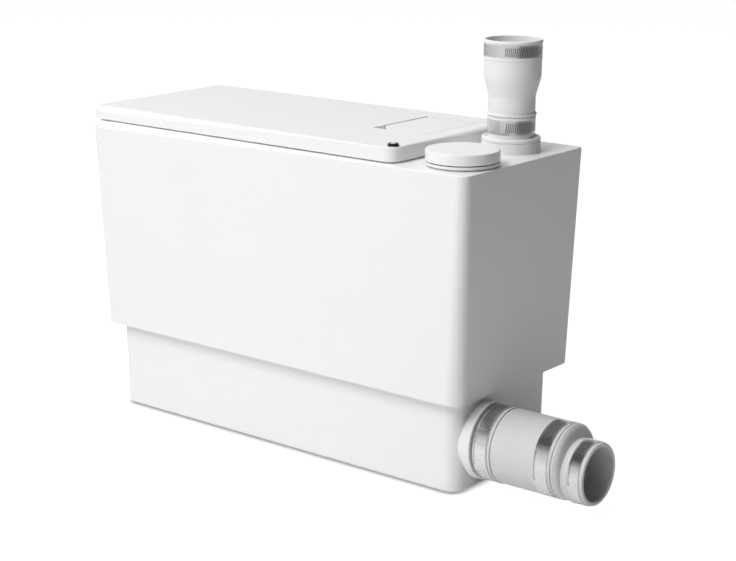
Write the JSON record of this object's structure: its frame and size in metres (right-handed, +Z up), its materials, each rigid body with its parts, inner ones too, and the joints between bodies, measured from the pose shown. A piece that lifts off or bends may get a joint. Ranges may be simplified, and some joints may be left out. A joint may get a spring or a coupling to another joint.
{
  "type": "grey water pump",
  "caption": "Floor-standing grey water lifting unit: narrow tank, wider motor housing with lid, clamped rubber side inlet, capped deck inlet and upright discharge coupling.",
  "frame": {"origin": "centre of the tank's footprint, on the floor under the base pad", "axes": "+X to the right towards the side inlet, +Y to the back, +Z up"},
  "size_m": [0.4691, 0.1586, 0.3257],
  "materials": {
    "white_plastic": "satin moulded",
    "pale_rubber": "smooth moulded",
    "black_rubber": "matt",
    "stainless_steel": "rolled",
    "grey_plastic": "moulded",
    "cast_aluminium": "die cast",
    "laminated_steel": "stacked sheet",
    "copper_wire": "varnished",
    "charcoal_fleece": "felted"
  },
  "bodies": {
    "pump_unit": {"base_pad": "black_rubber", "tank": "white_plastic", "tank_seal": "black_rubber", "tank_screws": "stainless_steel", "upper_housing": "white_plastic", "lid_gasket": "black_rubber", "vent_duct": "grey_plastic", "inlet_duct": "grey_plastic", "discharge_collar": "white_plastic", "discharge_coupling": "pale_rubber", "coupling_clamp_bands": "stainless_steel", "inlet_clamp_bands": "stainless_steel", "clamp_worm_housings": "stainless_steel", "clamp_worm_screws": "stainless_steel", "side_spigot": "grey_plastic", "inlet_flap_pin": "stainless_steel", "inlet_sleeve": "pale_rubber", "inlet_adapter": "pale_rubber", "motor_plate_gasket": "black_rubber", "motor_plate": "cast_aluminium", "motor_plate_screws": "stainless_steel", "motor_housing": "cast_aluminium", "motor_cap": "cast_aluminium", "motor_cap_screws": "stainless_steel", "stator_core": "laminated_steel", "stator_windings": "copper_wire", "lower_bearing": "stainless_steel", "upper_bearing": "stainless_steel", "shaft_seal": "black_rubber", "volute": "grey_plastic", "suction_cover": "grey_plastic", "suction_cover_screws": "stainless_steel", "outlet_elbow": "grey_plastic", "riser_pipe": "grey_plastic", "riser_grommet": "black_rubber", "check_valve_seat": "grey_plastic", "check_valve_body": "grey_plastic", "check_flap_pin": "stainless_steel", "discharge_spigot": "grey_plastic", "air_bell": "grey_plastic", "sensing_hose": "black_rubber", "pressure_switch": "grey_plastic", "switch_bracket": "stainless_steel", "capacitor": "cast_aluminium", "terminal_box": "grey_plastic", "cable_gland": "grey_plastic", "gland_nut": "grey_plastic"},
    "rotor": {"shaft": "stainless_steel", "rotor_core": "laminated_steel", "impeller": "grey_plastic", "impeller_nut": "stainless_steel"},
    "check_valve_disc": {"check_flap": "black_rubber"},
    "inlet_valve_disc": {"inlet_flap": "black_rubber"},
    "lid_assembly": {"lid": "white_plastic", "lid_screw": "stainless_steel", "filter_cartridge": "charcoal_fleece", "hatch_pin": "stainless_steel"},
    "hatch": {"filter_hatch": "white_plastic"},
    "cap": {"inlet_cap": "white_plastic", "cap_seal": "black_rubber"}
  },
  "joints": [
    {"name": "rotor_spin", "type": "hinge", "parent": "pump_unit", "child": "rotor", "pos_m": [0.005, 0.004, 0.1], "axis": [0, 0, 1], "continuous": true},
    {"name": "check_valve_swing", "type": "hinge", "parent": "pump_unit", "child": "check_valve_disc", "pos_m": [0.1677, 0.0325, 0.1554], "axis": [0, 1, 0], "range_deg": [0, 65]},
    {"name": "inlet_valve_swing", "type": "hinge", "parent": "pump_unit", "child": "inlet_valve_disc", "pos_m": [0.1666, -0.0295, 0.0652], "axis": [0, 1, 0], "range_deg": [0, 60]},
    {"name": "lid_lift", "type": "slide", "parent": "pump_unit", "child": "lid_assembly", "axis": [0, 0, 1], "range_m": [0, 0.06]},
    {"name": "hatch_swing", "type": "hinge", "parent": "lid_assembly", "child": "hatch", "pos_m": [0.1025, 0, 0.252], "axis": [0, 1, 0], "range_deg": [0, 95]},
    {"name": "cap_lift", "type": "slide", "parent": "pump_unit", "child": "cap", "axis": [0, 0, 1], "range_m": [0, 0.03]}
  ]
}
